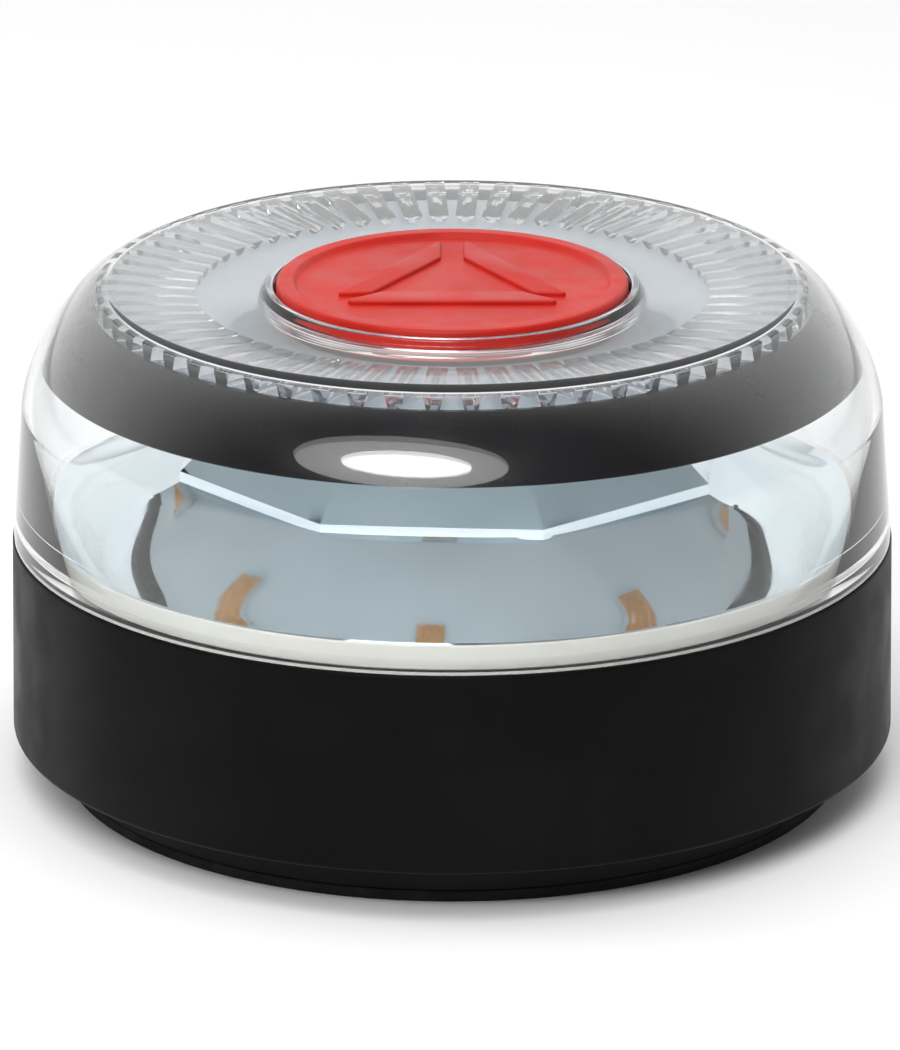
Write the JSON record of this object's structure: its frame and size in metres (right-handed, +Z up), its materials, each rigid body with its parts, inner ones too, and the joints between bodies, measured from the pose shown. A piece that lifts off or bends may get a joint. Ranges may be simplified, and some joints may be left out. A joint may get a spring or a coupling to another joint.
{
  "type": "led safety flare",
  "caption": "Round battery warning beacon: black base with magnetic foot, clear dome over a faceted mirror, amber LEDs and a red push button on top.",
  "frame": {"origin": "centre of the foot's underside, on the beacon's axis", "axes": "+Z up along the beacon's axis through the push button; -Y is the front, on which the triangle's base lies; +X is right"},
  "size_m": [0.084, 0.084, 0.0484],
  "materials": {
    "base_housing": "satin",
    "battery_cover": "satin",
    "foot_pad": "matte",
    "seal_rubber": "matte",
    "battery_case": "satin",
    "battery_terminal": "satin",
    "snap_connector": "matte",
    "lead_red": "satin",
    "lead_black": "satin",
    "reflector": "polished",
    "led_board": "satin",
    "chip": "satin",
    "inductor": "matte",
    "capacitor": "satin",
    "clear_dome": "gloss",
    "shade_ring": "gloss",
    "top_plate": "satin",
    "button_red": "satin",
    "spring_steel": "satin",
    "switch_body": "matte",
    "switch_plunger": "matte",
    "led_amber": "gloss",
    "magnet": "satin",
    "screw": "satin"
  },
  "bodies": {
    "beacon_body": {"base_housing": "base_housing", "dome_seal": "seal_rubber", "battery_case": "battery_case", "battery_terminal_positive": "battery_terminal", "battery_terminal_negative": "battery_terminal", "snap_connector": "snap_connector", "lead_red": "lead_red", "lead_black": "lead_black", "reflector": "reflector", "led_board": "led_board", "control_chip": "chip", "inductor": "inductor", "capacitor": "capacitor", "clear_dome": "clear_dome", "shade_ring": "shade_ring", "top_plate": "top_plate", "switch_body": "switch_body", "led_1": "led_amber", "led_2": "led_amber", "led_3": "led_amber", "led_4": "led_amber", "led_5": "led_amber", "led_6": "led_amber", "led_7": "led_amber", "led_8": "led_amber", "reflector_screw_1": "screw", "reflector_screw_2": "screw", "reflector_screw_3": "screw", "board_screw_1": "screw", "board_screw_2": "screw", "board_screw_3": "screw"},
    "battery_cover": {"battery_cover": "battery_cover", "foot_pad": "foot_pad", "cover_seal": "seal_rubber", "magnet_1": "magnet", "magnet_2": "magnet", "magnet_3": "magnet", "magnet_4": "magnet"},
    "push_button": {"button_cap": "button_red", "button_spring": "spring_steel"},
    "switch_plunger": {"switch_plunger": "switch_plunger"}
  },
  "joints": [
    {"name": "button_press", "type": "slide", "parent": "beacon_body", "child": "push_button", "axis": [0, 0, -1], "range_m": [0, 0.0008], "stiffness_N_per_m": 1800, "springref_m": -0.001, "deforming": ["button_spring"]},
    {"name": "switch_plunger_slide", "type": "slide", "parent": "beacon_body", "child": "switch_plunger", "axis": [0, 0, -1], "range_m": [0, 0.0008]},
    {"name": "battery_cover_turn", "type": "hinge", "parent": "beacon_body", "child": "battery_cover", "pos_m": [0, 0, 0.0045], "axis": [0, 0, -1], "range_deg": [0, 30]}
  ],
  "couplings": [
    {"joint": "switch_plunger_slide", "follows": "button_press", "ratio": 1}
  ]
}
